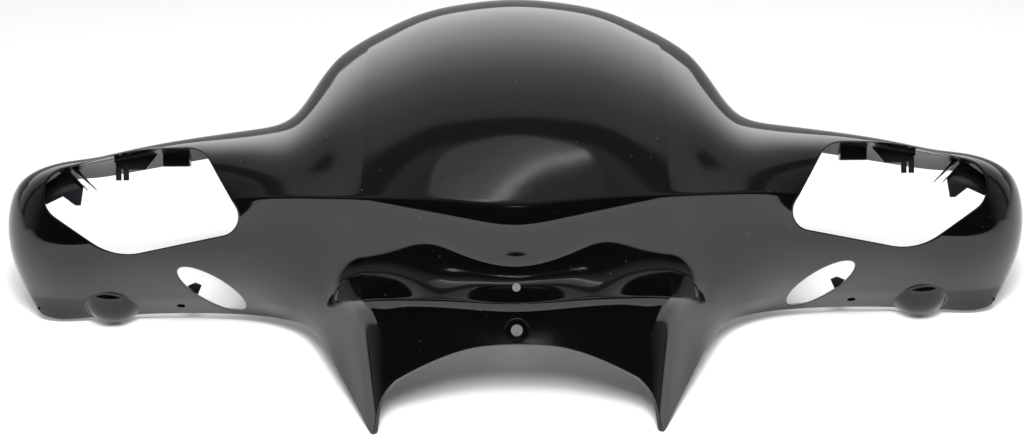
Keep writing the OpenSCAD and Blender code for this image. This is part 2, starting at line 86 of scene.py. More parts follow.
UNDER_1 = (0, 84.5, [(0, 3.3, 93), (37, 7.7, 97.5), (68, 16.5, 100.5), (90, 26, 101),
                     (113, 34, 99), (131, 37.5, 97), (170, 45.5, 91), (205, 59.5, 87)])
UNDER_2 = (0, 78.5, [(0, 8, 83.5), (37, 12.7, 90), (68, 22.5, 93), (90, 32, 93),
                     (113, 38.5, 90), (131, 41, 87), (170, 47, 84), (205, 61.5, 80)])
GROOVE = (0, 72.5, [(0, 16, 74), (37, 15.3, 80.5), (60, 25, 82.5), (68, 29.5, 83),
                    (90, 40, 82), (113, 47, 79), (131, 51, 77), (170, 55, 76), (205, 67, 73)])
LOW = (0, 66, [(0, 14.5, 65), (37, 13.5, 69.5), (60, 25, 70), (68, 31, 70), (75, 35, 69.5),
               (90, 46.5, 68), (113, 60, 66), (131, 65, 66), (170, 68, 67), (205, 76, 65.5)])
RIDGE = (0, 61, [(0, 3.5, 57), (37, 6, 59), (60, 8, 59.5), (69, 12, 59), (75, 22, 58.7),
                 (82, 36, 57.5), (95, 55.5, 55), (113, 75, 54.5), (131, 82, 57), (170, 83, 58),
                 (205, 87, 58)])
PANEL = (0.6, 57, [(0, 6.5, 51.5), (37, 8.7, 52.5), (56, 10.5, 51), (65, 13, 48), (72, 21, 46.5),
                   (80, 34, 46), (92, 54.5, 48), (113, 82, 50), (131, 91, 52), (170, 92, 53.5),
                   (205, 93, 53.5)])
RIM_LOW = (1, 53, [(0, 3.5, 38.5), (15, 3.5, 38), (30, 3.8, 34.5), (44, 4, 28.5),
                   (55.5, 4.3, 22.5), (64, 5, 14), (65.6, 5, -4), (67.5, 7, -1.5), (75, 20, 12),
                   (88, 42, 32), (95, 60, 41.5), (105, 77, 46), (131, 93, 49.5),
                   (165, 98, 50.5), (195, 98, 49.8), (222, 98, 47.6)])
LINES = [RIM_TOP, BACK, CROWN, DOME_4, DOME_3, DOME_2, DOME_1, BROW, UNDER_1, UNDER_2, GROOVE,
         LOW, RIDGE, PANEL, RIM_LOW]
BROW_ROW = 7
RIDGE_ROW = 12
STATIONS = [0, 12, 25, 38, 50, 61, 71, 76, 80, 84, 88, 95, 101, 107, 114, 122, 131, 141, 153,
            167, 181, 194, 205]
END_TURN = np.radians([20, 40, 58, 74, 90])
CORNER_COLUMN = 6
NECK_LEAN = np.array([(0, 0), (71, 55.5), (76, 64), (80, 65.6), (84, 67.5), (88, 75), (95, 86),
                      (101, 96), (107, 105), (114, 113.5), (122, 122), (167, 168), (181, 187),
                      (194, 205), (205, 221), (250, 250)])
WALL = 2.6
print(len(LINES), "lines over", len(STATIONS), "stations, wall", WALL, "mm")

# %% [markdown]
# ## From lines to a net
# Between its points each line glides without overshoot, and at the wing's end it turns back on a
# quarter of an ellipse to meet the end's outline. The result is a net of control points. The
# inner face of the wall has its own net, moved in by the wall, square to the surface. The brow and
# ridge rows are taken twice, which pulls the surface into the tight creases of the real part.

# %% The outer and the inner net
ACROSS = np.array([(0, 0), (66, 66), (101, 101), (250, 250), (500, 500)])
BACKWARDS = np.array([(-100, -100), (0, 0), (98, 102), (136, 128), (272, 256)])
UPWARDS = np.array([(-100, -100), (0, 0), (50, 50), (101.5, 101), (206, 206), (412, 412)])


def back_to(y):
    return np.interp(y, *BACKWARDS.T)


def up_to(z):
    return np.interp(z, *UPWARDS.T)


def placed(p):
    return [np.interp(p[0], *ACROSS.T), back_to(p[1]), up_to(p[2])]


def glide(points, at, k):
    p = np.array(points, float)
    i = int(np.clip(np.searchsorted(p[:, 0], at, side="right") - 1, 0, len(p) - 2))
    rise = np.diff(p[:, k]) / np.diff(p[:, 0])

    def slope(j):
        if j == 0:
            return 0.0
        if j == len(p) - 1:
            return rise[-1]
        a, b = rise[j - 1], rise[j]
        return 0.0 if a * b <= 0 else 2 * a * b / (a + b)

    h = p[i + 1, 0] - p[i, 0]
    s = min(1.0, max(0.0, (at - p[i, 0]) / h))
    return ((2 * s**3 - 3 * s**2 + 1) * p[i, k] + (s**3 - 2 * s**2 + s) * h * slope(i)
            + (3 * s**2 - 2 * s**3) * p[i + 1, k] + (s**3 - s**2) * h * slope(i + 1))


def end_x(z):
    return 250 - (20 * ((z - 94) / 48) ** 2 if z < 94 else 14 * ((z - 94) / 28) ** 2)


def line_points(share, end_z, points):
    flat = []
    for station in STATIONS:
        x = station * (1 - share) + share * np.interp(station, *NECK_LEAN.T)
        flat.append(np.array([x, glide(points, x, 1), glide(points, x, 2)]))
    last, end = flat[-1], np.array([end_x(end_z), 98, end_z])
    for a in END_TURN:
        turn = np.array([math.sin(a), 1 - math.cos(a), 1 - math.cos(a)])
        flat.append(last + (end - last) * turn)
    return [placed(p) for p in flat]


MIRROR = np.array([-1.0, 1.0, 1.0])
half = np.array([line_points(*line) for line in LINES])
side_by = np.concatenate([half[:, 1:2] * MIRROR, half, half[:, -1:]], axis=1)
over_by = np.concatenate([half[:1], half, half[-1:]], axis=0)
square = np.cross(side_by[:, 2:] - side_by[:, :-2], over_by[2:] - over_by[:-2])
square /= np.linalg.norm(square, axis=2, keepdims=True)
row_order = sorted([*range(len(LINES)), BROW_ROW, RIDGE_ROW])
column_order = sorted([*range(half.shape[1]), CORNER_COLUMN])


def whole_net(one_half):
    net = one_half[row_order][:, column_order]
    net = np.concatenate([net[:, :0:-1] * MIRROR, net], axis=1)
    net = np.concatenate([2 * net[:1] - net[1:2], net, 2 * net[-1:] - net[-2:-1]], axis=0)
    return np.concatenate([2 * net[:, :1] - net[:, 1:2], net, 2 * net[:, -1:] - net[:, -2:-1]],
                          axis=1)


OUTER = whole_net(half)
INNER = whole_net(half + WALL * square)
LAST_ROW = len(row_order) - 1
MID_COLUMN = len(column_order) - 1
LAST_COLUMN = 2 * MID_COLUMN
print("net of", LAST_ROW + 1, "by", LAST_COLUMN + 1, "points")

# %% [markdown]
# ## The smooth surface
# A cubic B-spline through the net gives the flowing, evenly curved surface that a mould cutter
# leaves. It is evaluated here directly, so that points, creases and normals are exact wherever
# the mesh needs them. Under each wing a round bulge clears the lever: there the wall is pushed out
# to a ball, with a small fillet where the ball leaves the wing.

# %% Points and normals anywhere on either face of the wall
BULGE_X = 198.0
BULGE_Y = back_to(98) - 1
BULGE_Z = up_to(62)
BULGE_R = 16.0
FILLET = 0.7


def bump(t):
    return np.array([(1 - t) ** 3, 3 * t**3 - 6 * t**2 + 4, -3 * t**3 + 3 * t**2 + 3 * t + 1,
                     t**3]) / 6


def spline(net, u, v):
    u, v = np.broadcast_arrays(np.asarray(u, float), np.asarray(v, float))
    i = np.clip(np.floor(u).astype(int), 0, LAST_ROW - 1)
    j = np.clip(np.floor(v).astype(int), 0, LAST_COLUMN - 1)
    wu, wv = bump(u - i), bump(v - j)
    out = np.zeros(u.shape + (3,))
    for a in range(4):
        for b in range(4):
            out += (wu[a] * wv[b])[..., None] * net[i + a, j + b]
    return out


def seek(net, goal, axes, start_rows):
    """Finds the place on the surface whose two coordinates named by axes match the goal."""
    u_try, v_try = np.meshgrid(np.linspace(*start_rows, 90), np.linspace(0, LAST_COLUMN, 400),
                               indexing="ij")
    seen = spline(net, u_try, v_try)[..., axes].reshape(-1, 2)
    place = np.empty((len(goal), 2))
    for k, g in enumerate(goal):
        best = np.argmin(((seen - g) ** 2).sum(1))
        place[k] = u_try.ravel()[best], v_try.ravel()[best]
    step = 1e-4
    for _ in range(12):
        here = spline(net, place[:, 0], place[:, 1])[:, axes]
        du = (spline(net, place[:, 0] + step, place[:, 1])[:, axes] - here) / step
        dv = (spline(net, place[:, 0], place[:, 1] + step)[:, axes] - here) / step
        miss = goal - here
        det = du[:, 0] * dv[:, 1] - du[:, 1] * dv[:, 0]
        det = np.where(abs(det) < 1e-6, 1e-6, det)
        move_u = (miss[:, 0] * dv[:, 1] - miss[:, 1] * dv[:, 0]) / det
        move_v = (du[:, 0] * miss[:, 1] - du[:, 1] * miss[:, 0]) / det
        place[:, 0] = np.clip(place[:, 0] + np.clip(move_u, -0.3, 0.3), 0, LAST_ROW)
        place[:, 1] = np.clip(place[:, 1] + np.clip(move_v, -0.3, 0.3), 0, LAST_COLUMN)
    here = spline(net, place[:, 0], place[:, 1])
    return place, here, np.linalg.norm(here[:, axes] - goal, axis=1)


XZ, XY = [0, 2], [0, 1]
FRONT_ROWS = (3.0, float(LAST_ROW))


def skin(net, u, v):
    p = spline(net, u, v)
    radius = BULGE_R if net is OUTER else BULGE_R - WALL
    for side in (-1, 1):
        away = p - np.array([side * BULGE_X, BULGE_Y, BULGE_Z])
        away[..., 1] = np.minimum(away[..., 1], 0)
        r = np.maximum(np.linalg.norm(away, axis=-1), 1e-6)
        mix = np.clip(0.5 + 0.5 * (r - radius) / FILLET, 0, 1)
        pushed = radius * (1 - mix) + r * mix + FILLET * mix * (1 - mix)
        p = p + away * ((pushed - r) / r)[..., None]
    return p


def skin_normals(net, u, v):
    h = 2e-3
    du = skin(net, np.minimum(u + h, LAST_ROW), v) - skin(net, np.maximum(u - h, 0), v)
    dv = skin(net, u, np.minimum(v + h, LAST_COLUMN)) - skin(net, u, np.maximum(v - h, 0))
    n = np.cross(du, dv)
    return n / np.maximum(np.linalg.norm(n, axis=-1, keepdims=True), 1e-12)


print("bulge centre", BULGE_X, round(BULGE_Y, 2), BULGE_Z)

# %% [markdown]
# ## Outlines of the openings
# The mould parts straight back, so every opening is an outline seen along the draw. The lamp
# windows have six rounded corners, the cable holes are leaning ovals, and the rest are round.
# Each outline carries its outward direction too, which is what rounds its edges later.

# %% Outlines as points and outward directions
WINDOW = [(124.5, 92, 9), (191.2, 78.9, 32), (226.4, 103, 13), (226.4, 119.8, 12),
          (182, 130.8, 90), (148.3, 130.8, 14)]


def window_outline(spacing):
    points, outward = [], []
    corners = [np.array([c[0], up_to(c[1])]) for c in WINDOW]
    count = len(WINDOW)
    arcs = []
    for k in range(count):
        before, corner, after = corners[k - 1], corners[k], corners[(k + 1) % count]
        radius = WINDOW[k][2]
        to_before = (before - corner) / np.linalg.norm(before - corner)
        to_after = (after - corner) / np.linalg.norm(after - corner)
        half_angle = math.acos(float(to_before @ to_after)) / 2
        middle = to_before + to_after
        centre = corner + middle / np.linalg.norm(middle) * radius / math.sin(half_angle)
        start = corner + to_before * radius / math.tan(half_angle) - centre
        stop = corner + to_after * radius / math.tan(half_angle) - centre
        a0 = math.atan2(start[1], start[0])
        sweep = (math.atan2(stop[1], stop[0]) - a0 + math.pi) % (2 * math.pi) - math.pi
        arcs.append((centre, radius, a0, sweep))
    for k, (centre, radius, a0, sweep) in enumerate(arcs):
        steps = max(6, int(abs(sweep) * radius / spacing))
        for a in a0 + sweep * np.linspace(0, 1, steps + 1):
            outward.append([math.cos(a), math.sin(a)])
            points.append(centre + radius * np.array(outward[-1]))
        next_centre, next_radius, b0, _ = arcs[(k + 1) % count]
        stop = next_centre + next_radius * np.array([math.cos(b0), math.sin(b0)])
        straight = np.linalg.norm(stop - points[-1])
        here, parts = points[-1], max(1, int(straight / spacing))
        for s in range(1, parts):
            points.append(here + (stop - here) * s / parts)
            outward.append(outward[-1])
    points, outward = np.array(points), np.array(outward)
    keep = np.linalg.norm(points - np.roll(points, 1, axis=0), axis=1) > 0.05
    return points[keep], outward[keep]


def oval_outline(x, z, long_d, short_d, lean, steps):
    a = np.linspace(0, 2 * math.pi, steps, endpoint=False)
    u, v = long_d / 2 * np.cos(a), short_d / 2 * np.sin(a)
    nu, nv = np.cos(a) / long_d, np.sin(a) / short_d
    size = np.hypot(nu, nv)
    c, s = math.cos(lean), math.sin(lean)
    points = np.stack([x + u * c - v * s, z + u * s + v * c], axis=1)
    outward = np.stack([(nu * c - nv * s) / size, (nu * s + nv * c) / size], axis=1)
    return points, outward


def other_side(points, outward):
    return points[::-1] * [-1, 1], outward[::-1] * [-1, 1]


OVAL_X = 147
OVAL_Z = up_to(63.1)
OVAL_LONG = 35
OVAL_SHORT = 13.4
OVAL_LEAN = math.radians(33)
window_right = window_outline(1.6)
oval_right = oval_outline(OVAL_X, OVAL_Z, OVAL_LONG, OVAL_SHORT, OVAL_LEAN, 72)
print("window outline of", len(window_right[0]), "points")

# %% [markdown]
# ## Rings through the wall
# Each opening is a stack of rings: one on the outer face a little outside the outline, then the
# rounded lip, the straight wall along the draw, and the lip on the inner face. A moulded edge
# always has a small radius, and on gloss plastic that radius is the bright line one sees.

# %% Stacks of rings for every opening
LIP_OUT = 1.0
LIP_IN = 0.5
LIP_STEPS = 4
ROW_STEPS = 6
COLUMN_STEPS = 4
CELL = np.array([ROW_STEPS, COLUMN_STEPS])
RIM_KEEP = 0.35


def turn_corner(a, q, b):
    t = np.linspace(0, 1, LIP_STEPS + 1)[1:, None, None]
    return list((1 - t) ** 2 * a + 2 * t * (1 - t) * q + t**2 * b)


def on_face(net, outline, grow):
    place, p, miss = seek(net, outline[0] + grow * outline[1], XZ, FRONT_ROWS)
    return place, p, miss


def along_draw(p, y):
    return np.stack([p[:, 0], np.broadcast_to(y, len(p)), p[:, 1]], axis=1)


def deepest(x):
    """How far back the window's cut may go, so that it stays clear of the wing's top wall."""
    return WINDOW_FAR + 0.17 * (abs(x) - 167)


WINDOW_FAR = seek(INNER, np.array([[167.0, up_to(128)]]), XZ, FRONT_ROWS)[1][0, 1]
WINDOW_FAR += 14


def densified(outline, lip_out):
    """Adds points to the outline where the wall runs almost along the draw."""
    points, outward = outline
    for _ in range(3):
        place, _, _ = on_face(OUTER, (points, outward), lip_out)
        step = np.linalg.norm((np.roll(place, -1, axis=0) - place) * CELL, axis=1)
        wide = np.flatnonzero(step > 1.2)
        middle = (points[wide] + np.roll(points, -1, axis=0)[wide]) / 2
        turn = outward[wide] + np.roll(outward, -1, axis=0)[wide]
        turn /= np.linalg.norm(turn, axis=1, keepdims=True)
        points = np.insert(points, wide + 1, middle, axis=0)
        outward = np.insert(outward, wide + 1, turn, axis=0)
    return points, outward


def off_the_rim(net, place, p):
    """Keeps a ring on the face where an outline runs out over the lower rim."""
    low = place[:, 0] > LAST_ROW - RIM_KEEP
    place[low, 0] = LAST_ROW - RIM_KEEP
    p[low] = spline(net, *place[low].T)


def opening(outline, lip_out=LIP_OUT, lip_in=LIP_IN, limited=False):
    """The rings of one opening, and their places on the outer and on the inner face."""
    outline = densified(outline, lip_out)
    outer_place, a, _ = on_face(OUTER, outline, lip_out)
    _, q, _ = on_face(OUTER, outline, 0)
    inner_place, a2, miss_a = on_face(INNER, outline, lip_in)
    _, q2, miss_q = on_face(INNER, outline, 0)
    if limited:
        x = outline[0][:, 0]
        far = deepest(x)
        late = (q2[:, 1] > far) | (miss_q > 0.05) | (miss_a > 0.05) | (a2[:, 1] > far + lip_in)
        goal_q = np.stack([x, far], axis=1)[late]
        goal_a = goal_q + np.stack([lip_in * outline[1][late, 0], np.full(late.sum(), lip_in)],
                                   axis=1)
        q2[late] = seek(INNER, goal_q, XY, (0.0, 9.0))[1]
        place, at, _ = seek(INNER, goal_a, XY, (0.0, 9.0))
        inner_place[late], a2[late] = place, at
    else:
        q_place = on_face(INNER, outline, 0)[0]
        q_place[:, 0] -= 0.08
        off_the_rim(INNER, inner_place, a2)
        off_the_rim(INNER, q_place, q2)
    b = q + [0, lip_out, 0]
    b2 = q2 - [0, lip_in, 0]
    b2[:, 1] = np.maximum(b2[:, 1], b[:, 1] + 0.1)
    rings = [a, *turn_corner(a, q, b), *turn_corner(b2, q2, a2)]
    rings.insert(1 + LIP_STEPS, b2)
    return rings, outer_place, inner_place


cuts = []
for each in (window_right, other_side(*window_right)):
    cuts.append(opening(each, limited=True))
for each in (oval_right, other_side(*oval_right)):
    cuts.append(opening(each, 0.8, 0.4))
print(len(cuts), "openings cut along the draw")


def drilled(x, z, radius, steps=28):
    """A round hole square to the wall: the same places on both faces."""
    centre = seek(OUTER, np.array([[x, z]]), XZ, FRONT_ROWS)[0][0]
    h = 1e-3
    du = (spline(OUTER, centre[0] + h, centre[1]) - spline(OUTER, centre[0] - h, centre[1])) / (2 * h)
    dv = (spline(OUTER, centre[0], centre[1] + h) - spline(OUTER, centre[0], centre[1] - h)) / (2 * h)
    first = du / np.linalg.norm(du)
    second = dv - (dv @ first) * first
    second /= np.linalg.norm(second)
    a = np.linspace(0, 2 * math.pi, steps, endpoint=False)
    flat = np.cos(a)[:, None] * first + np.sin(a)[:, None] * second
    per_mm = np.linalg.lstsq(np.stack([du, dv], axis=1), flat.T, rcond=None)[0].T
    wide, true = centre + (radius + 0.3) * per_mm, centre + radius * per_mm
    a, q = spline(OUTER, *wide.T), spline(OUTER, *true.T)
    a2, q2 = spline(INNER, *wide.T), spline(INNER, *true.T)
    through = (q2 - q) / np.linalg.norm(q2 - q, axis=1, keepdims=True)
    b, b2 = q + 0.3 * through, q2 - 0.3 * through
    rings = [a, *turn_corner(a, q, b), b2, *turn_corner(b2, q2, a2)]
    return rings, wide, wide.copy()


DRAIN_X = 164
DRAIN_Z = up_to(54.5)
DRAIN_R = 2.0
for x in (DRAIN_X, -DRAIN_X):
    cuts.append(drilled(x, DRAIN_Z, DRAIN_R))
print("drain holes drilled square to the underside")

# %% [markdown]
# ## Screw hole, dimple and locating hole
# In the middle of the neck an M5 screw holds the two halves of the cover together. Its head sits
# in a shallow round dimple, and behind the wall a boss takes the load. The boss is one stack of
# rings with the hole, so that the wall, the dimple and the boss are a single closed surface.

# %% Rings of the screw hole and of the locating hole
SCREW_Z = 44.7
SCREW_R = 2.65
DIMPLE_R = 5.5
DIMPLE_DEEP = 1.0
BOSS_R = SCREW_R + 3
BOSS_LONG = 7.0
PEG_Z = up_to(64.3)
PEG_R = 1.9


def round_outline(z, radius, steps=64):
    return oval_outline(0, z, 2 * radius, 2 * radius, 0, steps)


screw_front = seek(OUTER, np.array([[0.0, SCREW_Z]]), XZ, FRONT_ROWS)[1][0, 1]
screw_back = seek(INNER, np.array([[0.0, SCREW_Z]]), XZ, FRONT_ROWS)[1][0, 1]
floor_y = screw_front + DIMPLE_DEEP
boss_y = screw_back + BOSS_LONG
dimple = round_outline(SCREW_Z, DIMPLE_R)
outer_place, a, _ = on_face(OUTER, dimple, 0.5)
_, q, _ = on_face(OUTER, dimple, 0)
floor_rim = along_draw(dimple[0], floor_y)
b = (q + floor_rim) / 2
floor_in = along_draw(round_outline(SCREW_Z, DIMPLE_R - 0.4)[0], floor_y)
rings = [a, *turn_corner(a, q, b), *turn_corner(b, floor_rim, floor_in)]
lip = along_draw(round_outline(SCREW_Z, SCREW_R + 0.3)[0], floor_y)
edge = along_draw(round_outline(SCREW_Z, SCREW_R)[0], floor_y)
bore = along_draw(round_outline(SCREW_Z, SCREW_R)[0], floor_y + 0.3)
rings += [lip, *turn_corner(lip, edge, bore)]
bore_end = along_draw(round_outline(SCREW_Z, SCREW_R)[0], boss_y - 0.3)
bore_corner = along_draw(round_outline(SCREW_Z, SCREW_R)[0], boss_y)
end_in = along_draw(round_outline(SCREW_Z, SCREW_R + 0.3)[0], boss_y)
end_out = along_draw(round_outline(SCREW_Z, BOSS_R - 0.3)[0], boss_y)
boss_corner = along_draw(round_outline(SCREW_Z, BOSS_R)[0], boss_y)
boss_side = along_draw(round_outline(SCREW_Z, BOSS_R)[0], boss_y - 0.3)
rings += [bore_end, *turn_corner(bore_end, bore_corner, end_in), end_out,
          *turn_corner(end_out, boss_corner, boss_side)]
boss_outline = round_outline(SCREW_Z, BOSS_R)
inner_place, a2, _ = on_face(INNER, boss_outline, 0.5)
_, q2, _ = on_face(INNER, boss_outline, 0)
root = q2 + [0, 0.5, 0]
rings += [root, *turn_corner(root, q2, a2)]
cuts.append((rings, outer_place, inner_place))
cuts.append(opening(round_outline(PEG_Z, PEG_R, 32), 0.3, 0.3))
print("dimple floor at y", round(floor_y, 2), "boss end at y", round(boss_y, 2))

# %% [markdown]
# ## Meshing the two faces
# Each face of the wall is filled with triangles in the surface's own two directions, with the
# opening's rings as fixed edges, and then lifted onto the surface. That keeps every opening's edge
# exact, where a boolean would leave ragged slivers that show in the gloss. Around the bulges
# the points are four times as dense.

# %% Fill one face of the wall around its openings
EDGE_ROUND = 0.6


def face_points():
    u, v = np.meshgrid(np.linspace(0, LAST_ROW, LAST_ROW * ROW_STEPS + 1),
                       np.linspace(0, LAST_COLUMN, LAST_COLUMN * COLUMN_STEPS + 1), indexing="ij")
    even = np.stack([u.ravel(), v.ravel()], axis=1)
    fine_u, fine_v = np.meshgrid(np.linspace(11, LAST_ROW, 81),
                                 np.linspace(0, LAST_COLUMN, LAST_COLUMN * 16 + 1),
                                 indexing="ij")
    fine = np.stack([fine_u.ravel(), fine_v.ravel()], axis=1)
    p = spline(OUTER, fine[:, 0], fine[:, 1])
    near = np.linalg.norm(np.abs(p) - [BULGE_X, BULGE_Y, BULGE_Z], axis=1)
    fine = fine[near < BULGE_R + 2.5]
    both = np.concatenate([even, fine])
    _, keep = np.unique(np.round(both, 5), axis=0, return_index=True)
    return both[np.sort(keep)]


def inside(points, ring):
    x, y = points[:, 0], points[:, 1]
    hit = np.zeros(len(points), bool)
    for (x0, y0), (x1, y1) in zip(ring, np.roll(ring, -1, axis=0)):
        if y0 == y1:
            continue
        crosses = (y0 > y) != (y1 > y)
        hit ^= crosses & (x < x0 + (y - y0) * (x1 - x0) / (y1 - y0))
    return hit


def fill_face(rings):
    points = face_points()
    keep = np.ones(len(points), bool)
    on_rim = ((points == 0) | (points == [LAST_ROW, LAST_COLUMN])).any(1)
    for ring in rings:
        low, high = ring.min(0) - 1, ring.max(0) + 1
        close = np.flatnonzero(((points > low) & (points < high)).all(1))
        gap = np.linalg.norm((points[close, None] - ring[None]) * CELL, axis=2).min(1)
        keep[close] &= ~(inside(points[close], ring) | (gap < 0.35))
    points = points[keep | on_rim]
    edges, ring_ids, start = [], [], len(points)
    for ring in rings:
        ids = list(range(start, start + len(ring)))
        edges += list(zip(ids, ids[1:] + ids[:1]))
        ring_ids.append(ids)
        start += len(ring)
    every = np.concatenate([points, *rings])
    out, _, faces, origin, _, _ = delaunay_2d_cdt([Vector(p) for p in every], edges, [], 0, 1e-7)
    new_id = {old: new for new, olds in enumerate(origin) for old in olds}
    out = np.array([tuple(p) for p in out])
    faces = np.array(faces)
    middle = out[faces].mean(1)
    drop = np.zeros(len(faces), bool)
    for ring in rings:
        drop |= inside(middle, ring)
    return out, faces[~drop], [[new_id[k] for k in ids] for ids in ring_ids]


def inset(net, place):
    """Draws the outermost points in by the rim's radius, and leaves all others."""
    moved = place.copy()
    h = 0.02
    for axis, last in ((0, LAST_ROW), (1, LAST_COLUMN)):
        for end, sign in ((0, 1), (last, -1)):
            on = place[:, axis] == end
            there = place[on].copy()
            there[:, axis] += sign * h
            run = np.linalg.norm(skin(net, *there.T) - skin(net, *place[on].T), axis=1)
            moved[on, axis] = end + sign * np.minimum(h * EDGE_ROUND / np.maximum(run, 1e-9), 0.12)
    return moved


outer_face = fill_face([cut[1] for cut in cuts])
inner_face = fill_face([cut[2] for cut in cuts])
print("outer face", len(outer_face[1]), "triangles, inner face", len(inner_face[1]))

# %% [markdown]
# ## One closed shell
# The two faces are joined around the rim with a rounded edge and through each opening with its
# rings. The cover stands as it rests on a table, leaned back on its two neck tips, so
# every point turns from the mould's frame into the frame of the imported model.

# %% Join faces, rim and openings, and lay the shell down
TILT = math.radians(26.5007)
FRONT_Y = 4.70748
REAR_Y = 204.269
FLOOR_Z = -4.75347


def lain(p):
    p = np.atleast_2d(np.asarray(p, float))
    c, s = math.cos(TILT), math.sin(TILT)
    y = p[:, 1] * c + p[:, 2] * s - (FRONT_Y + REAR_Y) / 2
    z = p[:, 2] * c - p[:, 1] * s - FLOOR_Z
    return np.stack([p[:, 0], y, z], axis=1) * MM


def laid_direction(n):
    c, s = math.cos(TILT), math.sin(TILT)
    return np.stack([n[:, 0], n[:, 1] * c + n[:, 2] * s, n[:, 2] * c - n[:, 1] * s], axis=1)


def rim_order(place):
    """The face's outermost points in order around it."""
    on_top = np.flatnonzero(place[:, 0] == 0)
    on_low = np.flatnonzero(place[:, 0] == LAST_ROW)
    on_left = np.flatnonzero((place[:, 1] == 0) & (place[:, 0] > 0) & (place[:, 0] < LAST_ROW))
    on_right = np.flatnonzero((place[:, 1] == LAST_COLUMN) & (place[:, 0] > 0)
                              & (place[:, 0] < LAST_ROW))
    return np.concatenate([on_top[np.argsort(place[on_top, 1])],
                           on_right[np.argsort(place[on_right, 0])],
                           on_low[np.argsort(-place[on_low, 1])],
                           on_left[np.argsort(-place[on_left, 0])]])


def snapped(place):
    near = np.round(place, 5)
    for axis, last in ((0, LAST_ROW), (1, LAST_COLUMN)):
        place[near[:, axis] <= 0, axis] = 0
        place[near[:, axis] >= last, axis] = last
    return place


points, triangles, quads, normals = [], [], [], []
rim_rows = []
ring_rows = []
for net, (place, faces, ring_ids) in ((OUTER, outer_face), (INNER, inner_face)):
    place = snapped(place)
    start = sum(len(p) for p in points)
    shifted = inset(net, place)
    points.append(skin(net, *shifted.T))
    facing = skin_normals(net, *shifted.T)
    normals.append(facing if net is OUTER else -facing)
    triangles.append(faces + start)
    ring_rows.append([np.array(ids) + start for ids in ring_ids])
    order = rim_order(place)
    rim_rows.append((order + start, place[order], skin(net, *shifted[order].T)))


def add_ring(ring):
    start = sum(len(p) for p in points)
    points.append(ring)
    normals.append(np.zeros((len(ring), 3)))
    return np.arange(start, start + len(ring))


def bridge(a, b):
    quads.append(np.stack([a, np.roll(a, -1), np.roll(b, -1), b], axis=1))


(rim_outer, place_outer, at_outer), (rim_inner, place_inner, at_inner) = rim_rows
assert np.allclose(place_outer, place_inner)
corner_out = skin(OUTER, *place_outer.T)
corner_in = skin(INNER, *place_inner.T)
across_rim = corner_in - corner_out
thick = np.linalg.norm(across_rim, axis=1, keepdims=True)
share = np.minimum(EDGE_ROUND / np.maximum(thick, 1e-6), 0.4)
flat_out = corner_out + across_rim * share
flat_in = corner_in - across_rim * share
path = [*turn_corner(at_outer, corner_out, flat_out), flat_in,
        *turn_corner(flat_in, corner_in, at_inner)[:-1]]
last_ids = rim_outer
for ring in path:
    ids = add_ring(ring)
    bridge(last_ids, ids)
    last_ids = ids
bridge(last_ids, rim_inner)
for k, (rings, _, _) in enumerate(cuts):
    last_ids = ring_rows[0][k]
    for ring in rings[1:-1]:
        ids = add_ring(ring)
        bridge(last_ids, ids)
        last_ids = ids
    bridge(last_ids, ring_rows[1][k])

inner_triangles = len(triangles[0])
coords = lain(np.concatenate(points))
lowest, highest = (np.array(corner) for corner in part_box("handlebar_cover"))
coords = np.clip(coords, lowest + 0.02 * MM, highest - 0.02 * MM)
facing = laid_direction(np.concatenate(normals))
all_triangles = np.concatenate(triangles)
all_quads = np.concatenate(quads)
shell_mesh = bpy.data.meshes.new("shell")
shell_mesh.from_pydata(coords.tolist(), [], all_triangles.tolist() + all_quads.tolist())
shell_mesh.validate(verbose=False)
work = bmesh.new()
work.from_mesh(shell_mesh)
bmesh.ops.recalc_face_normals(work, faces=work.faces)
loose = sum(1 for e in work.edges if not e.is_manifold)
volume = work.calc_volume(signed=True)
work.to_mesh(shell_mesh)
work.free()
shell = bpy.data.objects.new("shell", shell_mesh)
bpy.context.scene.collection.objects.link(shell)
print("shell of", len(shell_mesh.polygons), "faces,", loose, "open edges,",
      round(volume * 1e6, 1), "ml")

# %% Exact normals on the faces, automatic ones on the rounded edges
shell_mesh.shade_smooth()
own = np.zeros(len(shell_mesh.vertices) * 3)
shell_mesh.vertices.foreach_get("normal", own)
own = own.reshape(-1, 3)
skin_points = np.linalg.norm(facing, axis=1) > 0.5
agree = np.sign((own[skin_points] * facing[skin_points]).sum(1))
facing[skin_points] *= agree[:, None]
shell_mesh.normals_split_custom_set_from_vertices(facing.tolist())
print("normals turned over:", int((agree < 0).sum()), "of", int(skin_points.sum()))

# %% [markdown]
# ## Clips, fins and ribs inside the wings
# Behind each lamp window the lens is held by small features moulded under the wing's top wall: a
# latch block, a gusset plate with twin pegs, twin slanting fins, and a notched gusset at the wing's
# end. Each is a short straight extrusion, as the mould's slides leave it, with its edges eased.
# They are drawn as stacks of outlines whose root sinks into the wall.

# %% Small moulded features
RIB = 1.8
ROOT = WALL / 2


def wall_above(x, y):
    """Height of the top wall's inner face over a place inside the wing."""
    return float(seek(INNER, np.array([[x, y]], float), XY, (0.0, 3.2))[1][0, 2])


